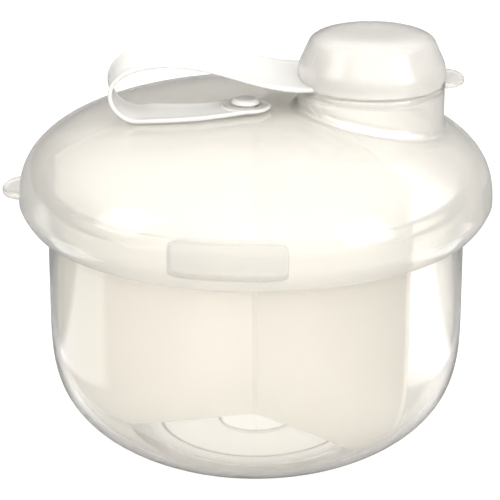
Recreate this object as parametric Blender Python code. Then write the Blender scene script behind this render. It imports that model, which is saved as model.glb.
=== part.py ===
"""Formula dispenser: a round tub in three compartments under a turning dome lid, whose
spout has a press-on cap held by a flat looped strap.

Frame: metres, +Z up. The origin is the centre of the tub's foot on the table. The spout
stands to the right, towards +X, and the thumb tab to the left.
"""

import math

import bmesh
import bpy
from mathutils import Vector

MM = 0.001

# Bearings are measured in plan from the front, -Y, towards the right, +X, in degrees.
SPOUT_BEARING = 83.5
DIVIDER_BEARING = 45.5
TURN_STEPS = 48
GAP = 0.35

# Bowl, in millimetres.
BOWL_RADIUS = 49.45
BOWL_WALL = 1.6
BOWL_RIM_Z = 66.0
BOWL_CURVE_HEIGHT = 36.1
BOWL_CURVE_POWERS = (1.16, 3.75)
FOOT_RADIUS = 27.2
FOOT_INNER_RADIUS = 24.0
FOOT_RECESS = 1.8
FOOT_PAD_RADIUS = 9.0
FLOOR_Z = 3.6
INNER_CURVE_DROP = 0.55
INNER_CURVE_OVERRUN = 4.0
INNER_CURVE_CROWDING = 1.6
SNAP_BEAD_Z = 62.5
SNAP_BEAD_HEIGHT = 2.4
SNAP_BEAD_STAND = 0.6

# Lid, in millimetres.
LID_RADIUS = 56.0
LID_EQUATOR_Z = 60.95
LID_DOME_HEIGHT = 23.45
LID_DOME_POWER = 2.6
LID_EDGE_RADIUS = 53.25
LID_EDGE_Z = 56.2
LID_EDGE_BULGE = 0.27
LID_WALL = 1.6
LUG_COUNT = 4
LUG_HALF_ANGLE = 14.0
LUG_INNER_RADIUS = 50.5
LUG_OUTER_RADIUS = 54.9
LUG_BOTTOM_Z = 59.3
LUG_TOP_Z = 67.5
TAB_REACH = 61.2
TAB_HALF_WIDTH = 7.5
TAB_Z = 60.6
TAB_THICKNESS = 1.7
TAB_ROOT = 3.0
TONGUE_NOSE = 0.72

# Spout, in millimetres.
SPOUT_OFFSET = 27.05
NECK_RADIUS = 17.0
NECK_WALL = 1.5
NECK_SUNK_Z = 69.0
CUTTER_OVERRUN = 4.0
SHOULDER_Z = 89.3
SPOUT_RADIUS = 13.4
SPOUT_BORE_RADIUS = 12.0
SPOUT_TOP_Z = 96.8

# Spout cap, in millimetres.
CAP_RADIUS = 17.2
CAP_RIM_Z = 89.65
CAP_UPRIGHT_HEIGHT = 3.9
CAP_BROW_HEIGHT = 9.5
CAP_BROW_RADIUS = 14.7
CAP_HEIGHT = 12.35
CAP_BROW_TENSION = 2.8
CAP_CROWN_TENSION = 6.8
CAP_WALL = 1.3
CAP_INNER_BROW_DROP = 0.4
PULL_REACH = 21.5
PULL_HALF_WIDTH = 7.0
PULL_THICKNESS = 1.3
PULL_ROOT = 0.9

# Strap and the stud on the lid that holds its end, in millimetres.
STRAP_THICKNESS = 1.0
STRAP_WIDTH_AT_CAP = 20.0
STRAP_WIDTH_AT_CREST = 13.0
STRAP_WIDTH_AT_BEND = 11.5
STRAP_WIDTH_AT_STUD = 10.8
STRAP_LIFT = 0.95
STRAP_CREST_TILT = 15.0
STRAP_CAP_TILT = 5.0
STRAP_LOWER_TILT = 5.0
BEND = (-33.7, -7.4, 89.6)
HINGE_STAND_OFF = 0.7
CREST_X = -20.0
CREST_Z = 97.2
LOWER_TURN = (-27.0, -9.5)
LOWER_BOW = 3.2
UPPER_END_OFFSET = 10.2
UPPER_END_LIFT = 0.9
UPPER_FALL_RATE = 1.18
STUD_X = -2.4
STUD_Y = -8.7
STUD_RADIUS = 2.2
STUD_HEAD_RADIUS = 3.4
STUD_HEAD_THICKNESS = 1.0
STUD_HEAD_SLOPE = 0.8
STUD_SHANK = 3.2
STRAP_EYE_RADIUS = 2.6
STRAP_END_RADIUS = 6.0

# Divider, in millimetres.
FIN_THICKNESS = 1.4
FIN_COUNT = 3
HUB_RADIUS = 1.25
FIN_EDGE_GAP = 0.5
FIN_LID_GAP = 0.9
FIN_TOP_STEPS = 7

MILKY = (0.93, 0.92, 0.88)
MILKY_WARM = (0.93, 0.91, 0.85)


def bearing_point(bearing, radius, z=0.0):
    """The point at this plan bearing in degrees, radius and height, in millimetres."""
    angle = math.radians(bearing)
    return Vector((math.sin(angle) * radius, -math.cos(angle) * radius, z))


def bearing_to_turn(bearing):
    """The turn about +Z, in radians, that brings +X round to this bearing."""
    return math.radians(bearing - 90.0)


def arc_steps(count, start=0.0, end=math.pi / 2):
    """Evenly spaced angles from start to end."""
    return [start + (end - start) * i / (count - 1) for i in range(count)]


def make_material(name, colour, roughness):
    """A milky moulded plastic."""
    material = bpy.data.materials.new(name)
    material.use_nodes = True
    shader = material.node_tree.nodes["Principled BSDF"]
    shader.inputs["Base Color"].default_value = (*colour, 1.0)
    shader.inputs["Roughness"].default_value = roughness
    shader.inputs["Metallic"].default_value = 0.0
    shader.inputs["Transmission Weight"].default_value = 0.35
    return material


def link_mesh(name, bm, colour=MILKY, roughness=0.3, origin=(0.0, 0.0, 0.0), turn=0.0):
    """Makes an object of a bmesh in millimetres about its own origin, then places it."""
    bmesh.ops.scale(bm, vec=(MM, MM, MM), verts=bm.verts)
    mesh = bpy.data.meshes.new(name)
    bm.to_mesh(mesh)
    bm.free()
    mesh.shade_smooth()
    mesh.set_sharp_from_angle(angle=math.radians(35))
    obj = bpy.data.objects.new(name, mesh)
    bpy.context.scene.collection.objects.link(obj)
    obj.location = Vector(origin) * MM
    obj.rotation_euler = (0.0, 0.0, turn)
    mesh.materials.append(make_material(name, colour, roughness))
    return obj


def turned(profile, steps=TURN_STEPS):
    """A bmesh made by turning a closed (radius, z) outline about Z."""
    bm = bmesh.new()
    verts = [bm.verts.new((radius, 0.0, z)) for radius, z in profile]
    edges = []
    for i, vert in enumerate(verts):
        following = verts[(i + 1) % len(verts)]
        on_axis = abs(vert.co.x) < 1e-9 and abs(following.co.x) < 1e-9
        if not on_axis:
            edges.append(bm.edges.new((vert, following)))
    bmesh.ops.spin(
        bm, geom=edges, axis=(0, 0, 1), cent=(0, 0, 0), angle=2 * math.pi, steps=steps, use_merge=True
    )
    bmesh.ops.remove_doubles(bm, verts=bm.verts, dist=1e-4)
    bmesh.ops.recalc_face_normals(bm, faces=bm.faces)
    return bm


def prism(outline, bottom, top):
    """A bmesh made by extruding a closed plan outline from bottom to top."""
    bm = bmesh.new()
    face = bm.faces.new([bm.verts.new((x, y, bottom)) for x, y in outline])
    raised = bmesh.ops.extrude_face_region(bm, geom=[face])
    moved = [item for item in raised["geom"] if isinstance(item, bmesh.types.BMVert)]
    bmesh.ops.translate(bm, vec=(0, 0, top - bottom), verts=moved)
    bmesh.ops.recalc_face_normals(bm, faces=bm.faces)
    return bm


def tongue_outline(root, reach, half_width, steps=12):
    """A plan outline that leaves root along +X and ends at reach in a round nose."""
    nose = reach - half_width * TONGUE_NOSE
    outline = [(root, -half_width)]
    for angle in arc_steps(steps, -math.pi / 2, math.pi / 2):
        outline.append((nose + (reach - nose) * math.cos(angle), half_width * math.sin(angle)))
    outline.append((root, half_width))
    return outline


def as_cutter(obj):
    """Keeps a helper shape out of the model."""
    obj.hide_render = True
    obj.display_type = "WIRE"
    return obj


def combine(obj, other, operation):
    """Joins or cuts obj with a helper shape."""
    modifier = obj.modifiers.new(f"{operation.lower()} {other.name}", "BOOLEAN")
    modifier.operation = operation
    modifier.solver = "EXACT"
    modifier.object = as_cutter(other)


def bowl_radius(z):
    """The bowl's outer radius at height z."""
    if z >= BOWL_CURVE_HEIGHT:
        return BOWL_RADIUS
    power_r, power_z = BOWL_CURVE_POWERS
    cosine = (1.0 - z / BOWL_CURVE_HEIGHT) ** (power_z / 2)
    sine = math.sqrt(max(0.0, 1.0 - cosine * cosine))
    return FOOT_RADIUS + (BOWL_RADIUS - FOOT_RADIUS) * sine ** (2 / power_r)


def bowl_curve(count=15):
    """The outer (radius, z) curve from the foot up to where the wall is upright."""
    power_r, power_z = BOWL_CURVE_POWERS
    points = []
    for angle in arc_steps(count):
        radius = FOOT_RADIUS + (BOWL_RADIUS - FOOT_RADIUS) * math.sin(angle) ** (2 / power_r)
        z = BOWL_CURVE_HEIGHT * (1 - max(0.0, math.cos(angle)) ** (2 / power_z))
        points.append((radius, z))
    return points


def bowl_inner_curve(inset, floor, count=12):
    """The (radius, z) curve inside the bowl, inset from the outside, from floor up."""
    points = []
    for i in range(count):
        share = i / (count - 1)
        top = BOWL_CURVE_HEIGHT + INNER_CURVE_OVERRUN
        z = floor + (top - floor) * share**INNER_CURVE_CROWDING
        outer = bowl_radius(max(z - inset * INNER_CURVE_DROP, 0.0))
        points.append((outer - inset, z))
    return points


def make_bowl():
    """The tub: foot ring and middle pad, rounded side, upright wall and the bead the lid
    presses over."""
    bead_low = SNAP_BEAD_Z - SNAP_BEAD_HEIGHT / 2
    bead_high = SNAP_BEAD_Z + SNAP_BEAD_HEIGHT / 2
    outer = [(0.0, 0.0), (FOOT_PAD_RADIUS, 0.0), (FOOT_PAD_RADIUS, FOOT_RECESS)]
    outer += [(FOOT_INNER_RADIUS, FOOT_RECESS), (FOOT_INNER_RADIUS, 0.0)]
    outer += bowl_curve()
    outer += [(BOWL_RADIUS, bead_low), (BOWL_RADIUS + SNAP_BEAD_STAND, SNAP_BEAD_Z)]
    outer += [(BOWL_RADIUS, bead_high), (BOWL_RADIUS, BOWL_RIM_Z)]
    inner = [(0.0, FLOOR_Z)] + bowl_inner_curve(BOWL_WALL, FLOOR_Z)
    inner.append((BOWL_RADIUS - BOWL_WALL, BOWL_RIM_Z))
    return link_mesh("bowl", turned(outer + inner[::-1]), MILKY_WARM)


def dome_z(radius, inset=0.0):
    """The height of the lid's dome at this radius, or of a surface inset under it."""
    share = min(1.0, radius / (LID_RADIUS - inset)) ** LID_DOME_POWER
    return LID_EQUATOR_Z + (LID_DOME_HEIGHT - inset) * (1.0 - share) ** (1 / LID_DOME_POWER)


def dome_curve(inset, count=18):
    """The dome's (radius, z) curve from the axis down to the widest ring."""
    exponent = 2 / LID_DOME_POWER
    points = []
    for angle in arc_steps(count):
        radius = (LID_RADIUS - inset) * math.sin(angle) ** exponent
        z = LID_EQUATOR_Z + (LID_DOME_HEIGHT - inset) * max(0.0, math.cos(angle)) ** exponent
        points.append((radius, z))
    return points


def skirt_curve(inset, count=5):
    """The lid's (radius, z) curve from the widest ring in to its bottom edge."""
    points = []
    for share in [i / (count - 1) for i in range(1, count)]:
        angle = share * math.pi / 2
        straight = (share, share)
        round_ = (1 - math.cos(angle), math.sin(angle))
        across = straight[0] + (round_[0] - straight[0]) * LID_EDGE_BULGE
        down = straight[1] + (round_[1] - straight[1]) * LID_EDGE_BULGE
        radius = LID_RADIUS - inset - (LID_RADIUS - LID_EDGE_RADIUS) * across
        points.append((radius, LID_EQUATOR_Z - (LID_EQUATOR_Z - LID_EDGE_Z) * down))
    return points


def make_lid_lugs():
    """The four lugs inside the lid's skirt, as one helper shape of separate blocks."""
    bm = bmesh.new()
    for i in range(LUG_COUNT):
        middle = math.radians(SPOUT_BEARING - 90.0 + i * 360.0 / LUG_COUNT)
        half = math.radians(LUG_HALF_ANGLE)
        angles = arc_steps(6, middle - half, middle + half)
        outline = [(LUG_OUTER_RADIUS * math.cos(a), LUG_OUTER_RADIUS * math.sin(a)) for a in angles]
        outline += [(LUG_INNER_RADIUS * math.cos(a), LUG_INNER_RADIUS * math.sin(a)) for a in angles[::-1]]
        block = prism(outline, LUG_BOTTOM_Z, LUG_TOP_Z)
        mesh = bpy.data.meshes.new("lid_lug_form")
        block.to_mesh(mesh)
        block.free()
        bm.from_mesh(mesh)
        bpy.data.meshes.remove(mesh)
    return link_mesh("lid_lugs_form", bm)


def make_lid():
    """The dome lid with its spout neck, thumb tab, strap stud and inner lugs."""
    spout = bearing_point(SPOUT_BEARING, SPOUT_OFFSET)
    outside = dome_curve(0.0) + skirt_curve(0.0) + [(0.0, LID_EDGE_Z)]
    lid = link_mesh("lid", turned(outside))

    neck = [(0.0, SPOUT_TOP_Z), (SPOUT_RADIUS, SPOUT_TOP_Z), (SPOUT_RADIUS, SHOULDER_Z)]
    neck += [(NECK_RADIUS, SHOULDER_Z), (NECK_RADIUS, NECK_SUNK_Z), (0.0, NECK_SUNK_Z)]
    combine(lid, link_mesh("neck_form", turned(neck), origin=spout), "UNION")

    tab = prism(
        tongue_outline(LID_RADIUS - TAB_ROOT, TAB_REACH, TAB_HALF_WIDTH),
        TAB_Z - TAB_THICKNESS / 2,
        TAB_Z + TAB_THICKNESS / 2,
    )
    tab_turn = bearing_to_turn(SPOUT_BEARING + 180.0)
    combine(lid, link_mesh("tab_form", tab, turn=tab_turn), "UNION")

    head_low = dome_z(math.hypot(STUD_X, STUD_Y)) + STRAP_LIFT + STRAP_THICKNESS / 2 + GAP
    stud_foot = head_low - STUD_SHANK
    head_top = head_low + STUD_HEAD_THICKNESS
    stud = [(0.0, head_top), (STUD_HEAD_RADIUS - STUD_HEAD_SLOPE, head_top), (STUD_HEAD_RADIUS, head_low)]
    stud += [(STUD_RADIUS, head_low), (STUD_RADIUS, stud_foot), (0.0, stud_foot)]
    stud_mesh = turned(stud, steps=20)
    combine(lid, link_mesh("stud_form", stud_mesh, origin=(STUD_X, STUD_Y, 0.0)), "UNION")

    hollow = dome_curve(LID_WALL) + skirt_curve(LID_WALL)
    edge = hollow[-1][0]
    hollow += [(edge, LID_EDGE_Z - CUTTER_OVERRUN), (0.0, LID_EDGE_Z - CUTTER_OVERRUN)]
    combine(lid, link_mesh("lid_hollow_form", turned(hollow)), "DIFFERENCE")

    passage_top = SHOULDER_Z - NECK_WALL
    passage_high = SPOUT_TOP_Z + CUTTER_OVERRUN
    passage = [(0.0, passage_high), (SPOUT_BORE_RADIUS, passage_high)]
    passage += [(SPOUT_BORE_RADIUS, passage_top), (NECK_RADIUS - NECK_WALL, passage_top)]
    passage += [(NECK_RADIUS - NECK_WALL, NECK_SUNK_Z - CUTTER_OVERRUN), (0.0, NECK_SUNK_Z - CUTTER_OVERRUN)]
    combine(lid, link_mesh("passage_form", turned(passage), origin=spout), "DIFFERENCE")

    combine(lid, make_lid_lugs(), "UNION")
    return lid


def bezier(points, count):
    """Points along the cubic curve with these four control points."""
    curve = []
    for i in range(count):
        t = i / (count - 1)
        weights = ((1 - t) ** 3, 3 * (1 - t) ** 2 * t, 3 * (1 - t) * t**2, t**3)
        curve.append(tuple(sum(w * p[axis] for w, p in zip(weights, points)) for axis in range(2)))
    return curve


def cap_curve(inset):
    """The cap's (radius, z) curve from the middle of its crown down to its rim: a domed
    crown that rolls into a cone, then an upright skirt."""
    rim = CAP_RADIUS - inset
    brow = (CAP_BROW_RADIUS - inset, CAP_BROW_HEIGHT - inset * CAP_INNER_BROW_DROP)
    top = CAP_HEIGHT - inset
    lean = Vector((rim - brow[0], CAP_UPRIGHT_HEIGHT - brow[1])).normalized()
    roll = (brow[0] - lean.x * CAP_BROW_TENSION, brow[1] - lean.y * CAP_BROW_TENSION)
    crown = bezier([(0.0, top), (CAP_CROWN_TENSION, top), roll, brow], 9)
    outline = crown + [(rim, CAP_UPRIGHT_HEIGHT), (rim, 0.0)]
    return [(radius, CAP_RIM_Z + z) for radius, z in outline]


def make_spout_cap(hinge):
    """The press-on cap with its pull tab, hung on the strap's bend."""
    spout = bearing_point(SPOUT_BEARING, SPOUT_OFFSET)
    profile = cap_curve(0.0) + cap_curve(CAP_WALL)[::-1]
    cap = link_mesh("spout_cap", turned(profile), origin=spout)
    pull = prism(
        tongue_outline(CAP_RADIUS - PULL_ROOT, PULL_REACH, PULL_HALF_WIDTH),
        CAP_RIM_Z,
        CAP_RIM_Z + PULL_THICKNESS,
    )
    combine(cap, link_mesh("pull_form", pull, origin=spout), "UNION")
    hang(cap, hinge)
    return cap


def hang(obj, parent):
    """Parents obj to an empty and leaves it where it is."""
    bpy.context.view_layer.update()
    obj.parent = parent
    obj.matrix_parent_inverse = parent.matrix_world.inverted()


def strap_heading():
    """The plan direction, as a unit vector, in which the strap runs from its bend to the cap."""
    spout = bearing_point(SPOUT_BEARING, SPOUT_OFFSET)
    return Vector((spout.x - BEND[0], spout.y - BEND[1], 0.0)).normalized()


def lower_y(share):
    """The lower band's sideways place: it bows towards the front along the dome."""
    straight = STUD_Y + (LOWER_TURN[1] - STUD_Y) * share
    return straight - LOWER_BOW * math.sin(math.pi * share)


def lower_band_points(count=8):
    """The strap's centre line from the stud out to the left, lying just over the dome."""
    points = []
    for i in range(count):
        share = i / (count - 1)
        x = STUD_X + (LOWER_TURN[0] - STUD_X) * share
        y = lower_y(share)
        points.append(Vector((x, y, dome_z(math.hypot(x, y)) + STRAP_LIFT)))
    return points


def lower_bend_points(count=7):
    """The lower half of the bend, from the lower band up to the leftmost point."""
    foot = lower_band_points()[-1]
    bend = Vector(BEND)
    points = []
    for angle in arc_steps(count)[1:]:
        across = 1 - math.sin(angle)
        point = bend + (foot - bend) * across
        point.z = bend.z + (foot.z - bend.z) * math.cos(angle)
        points.append(point)
    return points


def upper_bend_points(count=8):
    """The upper half of the bend, from the leftmost point up to the crest."""
    heading = strap_heading()
    bend = Vector(BEND)
    reach = (CREST_X - bend.x) / heading.x
    points = []
    for angle in arc_steps(count):
        along = heading * reach * (1 - math.cos(angle))
        points.append(bend + along + Vector((0.0, 0.0, (CREST_Z - bend.z) * math.sin(angle))))
    return points


def upper_band_points(count=10):
    """The strap's centre line from the crest down to the cap's rim."""
    spout = bearing_point(SPOUT_BEARING, SPOUT_OFFSET)
    crest = upper_bend_points()[-1]
    end = spout - strap_heading() * UPPER_END_OFFSET
    end.z = CAP_RIM_Z + STRAP_THICKNESS / 2 + UPPER_END_LIFT
    points = []
    for i in range(1, count):
        share = i / (count - 1)
        fall = (1 + math.cos(math.pi * min(1.0, share * UPPER_FALL_RATE))) / 2
        point = crest + (end - crest) * share
        point.z = end.z + (crest.z - end.z) * fall
        points.append(point)
    return points


def ribbon(points, widths, tilts, thickness=STRAP_THICKNESS):
    """A flat band of rectangular section along points. Its width lies across the strap's
    heading, and each tilt, in degrees, drops its front edge."""
    bm = bmesh.new()
    heading = strap_heading()
    rings = []
    for i, point in enumerate(points):
        before = points[max(i - 1, 0)]
        after = points[min(i + 1, len(points) - 1)]
        along = (after - before).normalized()
        tilt = math.radians(tilts[i])
        level = Vector((-heading.y, heading.x, 0.0))
        across = level * math.cos(tilt) + Vector((0.0, 0.0, math.sin(tilt)))
        across = (across - along * across.dot(along)).normalized()
        up = along.cross(across) * thickness / 2
        side = across * widths[i] / 2
        corners = (point - side - up, point + side - up, point + side + up, point - side + up)
        rings.append([bm.verts.new(corner) for corner in corners])
    for ring, following in zip(rings, rings[1:]):
        for i in range(4):
            j = (i + 1) % 4
            bm.faces.new((ring[i], ring[j], following[j], following[i]))
    bm.faces.new(rings[0][::-1])
    bm.faces.new(rings[-1])
    bmesh.ops.recalc_face_normals(bm, faces=bm.faces)
    return bm


def blended(start, end, count):
    """Evenly spaced values from start to end."""
    return [start + (end - start) * i / (count - 1) for i in range(count)]


def make_strap_lower():
    """The part of the strap that stays on the lid: the eye on the stud, the lower band
    and the lower half of the bend."""
    band = lower_band_points()
    bend = lower_bend_points()
    bend[-1] = bend[-1] - Vector((0.0, 0.0, GAP))
    widths = [STRAP_WIDTH_AT_STUD] * len(band)
    widths += blended(STRAP_WIDTH_AT_STUD, STRAP_WIDTH_AT_BEND, len(bend))
    tilts = blended(0.0, STRAP_LOWER_TILT, len(band)) + [STRAP_LOWER_TILT] * len(bend)
    strap = link_mesh("strap_lower", ribbon(band + bend, widths, tilts))
    low = band[0].z - STRAP_THICKNESS / 2
    high = band[0].z + STRAP_THICKNESS / 2
    end = [(0.0, high), (STRAP_END_RADIUS, high), (STRAP_END_RADIUS, low), (0.0, low)]
    place = (STUD_X, STUD_Y, 0.0)
    combine(strap, link_mesh("strap_end_form", turned(end, steps=32), origin=place), "UNION")
    eye_high = high + CUTTER_OVERRUN
    eye_low = low - CUTTER_OVERRUN
    eye = [(0.0, eye_high), (STRAP_EYE_RADIUS, eye_high), (STRAP_EYE_RADIUS, eye_low), (0.0, eye_low)]
    combine(strap, link_mesh("strap_eye_form", turned(eye, steps=20), origin=place), "DIFFERENCE")
    return strap


def make_strap_upper(hinge):
    """The part of the strap that swings with the cap: the upper half of the bend and the
    band that widens to the cap's rim."""
    bend = upper_bend_points()
    bend[0] = bend[0] + Vector((0.0, 0.0, GAP))
    band = upper_band_points()
    widths = blended(STRAP_WIDTH_AT_BEND, STRAP_WIDTH_AT_CREST, len(bend))
    widths += blended(STRAP_WIDTH_AT_CREST, STRAP_WIDTH_AT_CAP, len(band))
    tilts = blended(STRAP_LOWER_TILT, STRAP_CREST_TILT, len(bend))
    tilts += blended(STRAP_CREST_TILT, STRAP_CAP_TILT, len(band))
    strap = link_mesh("strap_upper", ribbon(bend + band, widths, tilts))
    spout = bearing_point(SPOUT_BEARING, SPOUT_OFFSET)
    reach = CAP_RADIUS + GAP
    high = CAP_RIM_Z + CAP_HEIGHT
    low = CAP_RIM_Z - CAP_HEIGHT
    clear = [(0.0, high), (reach, high), (reach, low), (0.0, low)]
    combine(strap, link_mesh("cap_clearance_form", turned(clear), origin=spout), "DIFFERENCE")
    hang(strap, hinge)
    return strap


def fin_outline():
    """The (distance, z) outline of one divider wall, from the axis to the bowl's side."""
    inset = BOWL_WALL + FIN_EDGE_GAP
    floor = FLOOR_Z + GAP
    side = [(max(radius, 0.0), z) for radius, z in bowl_inner_curve(inset, floor)]
    top_radius = BOWL_RADIUS - inset
    lid_inset = LID_WALL + FIN_LID_GAP
    side.append((top_radius, dome_z(top_radius, lid_inset)))
    shares = blended(0.9, 0.0, FIN_TOP_STEPS)
    top = [(top_radius * share, dome_z(top_radius * share, lid_inset)) for share in shares]
    return [(0.0, floor)] + side + top


def make_fin():
    """One wall of the divider, as a bmesh standing in the plane of +X and +Z."""
    bm = bmesh.new()
    half = FIN_THICKNESS / 2
    face = bm.faces.new([bm.verts.new((distance, -half, z)) for distance, z in fin_outline()])
    raised = bmesh.ops.extrude_face_region(bm, geom=[face])
    moved = [item for item in raised["geom"] if isinstance(item, bmesh.types.BMVert)]
    bmesh.ops.translate(bm, vec=(0, FIN_THICKNESS, 0), verts=moved)
    bmesh.ops.recalc_face_normals(bm, faces=bm.faces)
    return bm


def make_divider():
    """Three walls that meet on a round hub."""
    floor = FLOOR_Z + GAP
    top = dome_z(0.0, LID_WALL + FIN_LID_GAP)
    hub = [(0.0, top), (HUB_RADIUS, top), (HUB_RADIUS, floor), (0.0, floor)]
    divider = link_mesh("divider", turned(hub, steps=20))
    for i in range(FIN_COUNT):
        turn = bearing_to_turn(DIVIDER_BEARING + i * 360.0 / FIN_COUNT)
        combine(divider, link_mesh(f"fin_form_{i}", make_fin(), turn=turn), "UNION")
    return divider


def make_hinge():
    """An empty on the axis that the cap and the upper strap swing about. The axis lies just
    outside the bend, so that the two halves of the strap fold back to back without touching."""
    hinge = bpy.data.objects.new("cap_swing_axis", None)
    hinge.location = (Vector(BEND) - strap_heading() * HINGE_STAND_OFF) * MM
    bpy.context.scene.collection.objects.link(hinge)
    return hinge


def main():
    for obj in list(bpy.data.objects):
        bpy.data.objects.remove(obj, do_unlink=True)
    make_bowl()
    make_divider()
    make_lid()
    hinge = make_hinge()
    make_spout_cap(hinge)
    make_strap_upper(hinge)
    make_strap_lower()


main()
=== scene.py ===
"""The looks of a formula dispenser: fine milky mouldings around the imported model, its
studio and its camera.

Every surface is a grid of points worked out in millimetres as whole arrays, in the
model's own frame: the origin is the centre of the bowl's foot, +Z is up, the spout
stands towards +X and the front faces -Y.
"""

import logging
import math
from dataclasses import dataclass, field
from enum import Enum

import bpy
import numpy as np
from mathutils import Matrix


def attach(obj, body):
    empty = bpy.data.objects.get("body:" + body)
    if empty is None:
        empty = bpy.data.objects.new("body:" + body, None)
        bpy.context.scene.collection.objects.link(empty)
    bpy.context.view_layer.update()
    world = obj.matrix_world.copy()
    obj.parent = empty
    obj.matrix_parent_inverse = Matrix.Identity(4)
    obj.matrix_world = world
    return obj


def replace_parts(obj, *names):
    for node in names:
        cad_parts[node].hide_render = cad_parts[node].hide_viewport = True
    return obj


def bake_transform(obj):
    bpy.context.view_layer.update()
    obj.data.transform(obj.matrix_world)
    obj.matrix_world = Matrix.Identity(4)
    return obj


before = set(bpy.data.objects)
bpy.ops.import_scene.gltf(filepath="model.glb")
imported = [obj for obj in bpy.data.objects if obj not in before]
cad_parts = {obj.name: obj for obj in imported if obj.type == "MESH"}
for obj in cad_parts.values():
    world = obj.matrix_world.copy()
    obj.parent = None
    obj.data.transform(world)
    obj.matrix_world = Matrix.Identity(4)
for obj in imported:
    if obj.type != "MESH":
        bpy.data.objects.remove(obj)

log = logging.getLogger("dispenser")

MM = 0.001
WELD = 1e-7
FULL_TURN = 2 * math.pi
SHARP_ANGLE = 40.0
TONGUE_NOSE = 0.72
PLATE_FILL = (0.0, 0.35, 0.7)
RUNG_CROWDING = 1.6
STUD_HEAD_GAP = 0.35

Pair = tuple[float, float]
Four = tuple[float, float, float, float]


# --- Shared geometry -------------------------------------------------------------------


class Ends(Enum):
    """How the first and the last row of a grid are finished."""

    OPEN = "left as they are, because each shrinks to a point"
    JOINED = "the last row runs on into the first"
    CAPPED = "each is filled with one flat face"


def welded_faces(points: np.ndarray, quads: np.ndarray) -> tuple[np.ndarray, list]:
    """Makes one point of each group that lies together, and drops what collapses.

    Args:
        points: (n, 3) places.
        quads: (m, 4) indices into points.

    Returns:
        The kept points, and the faces as lists: quads, and triangles at the poles.
    """
    keys = np.round(points / WELD).astype(np.int64)
    _, first, index = np.unique(keys, axis=0, return_index=True, return_inverse=True)
    quads = index.reshape(-1)[quads]
    doubled = quads == np.roll(quads, -1, axis=1)
    count = doubled.sum(axis=1)
    faces = quads[count == 0].tolist()
    for corner in range(4):
        faces += np.delete(quads[doubled[:, corner] & (count == 1)], corner, axis=1).tolist()
    return points[first], faces


def signed_volume(points: np.ndarray, faces: list) -> float:
    """Six times the volume inside the faces, positive if they point outwards: the sum over
    fans of triangles of each one's triple product."""
    fans = [(face[0], face[i], face[i + 1]) for face in faces for i in range(1, len(face) - 1)]
    corners = points[np.array(fans)]
    return float(np.einsum("ij,ij->", corners[:, 0], np.cross(corners[:, 1], corners[:, 2])))


def surface(name: str, grid: np.ndarray, ends: Ends) -> bpy.types.Object:
    """Builds a closed piece from a grid of points whose columns run round it.

    Args:
        name: the piece's name.
        grid: (rows, columns, 3) places in millimetres.
        ends: how the first and last rows are finished.

    Returns:
        The object, at the origin.
    """
    index = np.arange(grid[..., 0].size).reshape(grid.shape[:2])
    across = np.roll(index, -1, axis=1)
    quads = np.stack([index, across, np.roll(across, -1, axis=0), np.roll(index, -1, axis=0)], axis=-1)
    if ends is not Ends.JOINED:
        quads = quads[:-1]
    points, faces = welded_faces(grid.reshape(-1, 3) * MM, quads.reshape(-1, 4))
    if ends is Ends.CAPPED:
        kept = np.round(points / WELD).astype(np.int64)
        order = {tuple(key): i for i, key in enumerate(kept.tolist())}
        for row, step in ((0, -1), (-1, 1)):
            rim = np.round(grid[row] * MM / WELD).astype(np.int64)[::step].tolist()
            faces.append([order[tuple(key)] for key in rim])
    mesh = bpy.data.meshes.new(name)
    mesh.from_pydata(points.tolist(), [], faces)
    if signed_volume(points, faces) < 0:
        mesh.flip_normals()
    mesh.shade_smooth()
    mesh.set_sharp_from_angle(angle=math.radians(SHARP_ANGLE))
    mesh.update()
    piece = bpy.data.objects.new(name, mesh)
    bpy.context.scene.collection.objects.link(piece)
    return piece


def around(columns: int) -> np.ndarray:
    """The angles of evenly spaced columns round a full turn."""
    return np.linspace(0.0, FULL_TURN, columns, endpoint=False)


def turned_grid(profile: np.ndarray, columns: int, centre: tuple = (0.0, 0.0)) -> np.ndarray:
    """Turns a (radius, height) profile about an upright axis: each point goes to
    centre + radius * (cos, sin), at its own height.

    Args:
        profile: (n, 2) radii and heights.
        columns: steps round the axis.
        centre: the axis's place in plan.

    Returns:
        The (n, columns, 3) grid.
    """
    angle = around(columns)
    radius = profile[:, :1]
    height = np.broadcast_to(profile[:, 1:2], (len(profile), columns))
    x = centre[0] + radius * np.cos(angle)
    y = centre[1] + radius * np.sin(angle)
    return np.stack([x, y, height], axis=-1)


def softened(corners: list, steps: int = 6) -> np.ndarray:
    """A polyline whose corners are rounded by quadratic curves that start and end a given
    way from the corner.

    Args:
        corners: (x, y, round) for each corner, where round is that way, or 0 for a point.
        steps: points along each rounded corner.

    Returns:
        The (n, 2) outline.
    """
    place = np.array([corner[:2] for corner in corners], dtype=float)
    share = np.linspace(0.0, 1.0, steps)[:, None]
    pieces = []
    for i, (_, _, reach) in enumerate(corners):
        if reach == 0 or i in (0, len(corners) - 1):
            pieces.append(place[i : i + 1])
            continue
        back = place[i - 1] - place[i]
        ahead = place[i + 1] - place[i]
        start = place[i] + back / np.linalg.norm(back) * reach
        end = place[i] + ahead / np.linalg.norm(ahead) * reach
        pieces.append((1 - share) ** 2 * start + 2 * share * (1 - share) * place[i] + share**2 * end)
    return np.concatenate(pieces)


def bezier(points: list, count: int) -> np.ndarray:
    """Evenly stepped points on the cubic curve with these four control points."""
    t = np.linspace(0.0, 1.0, count)[:, None]
    weights = np.hstack([(1 - t) ** 3, 3 * (1 - t) ** 2 * t, 3 * (1 - t) * t**2, t**3])
    return weights @ np.array(points, dtype=float)


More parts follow.
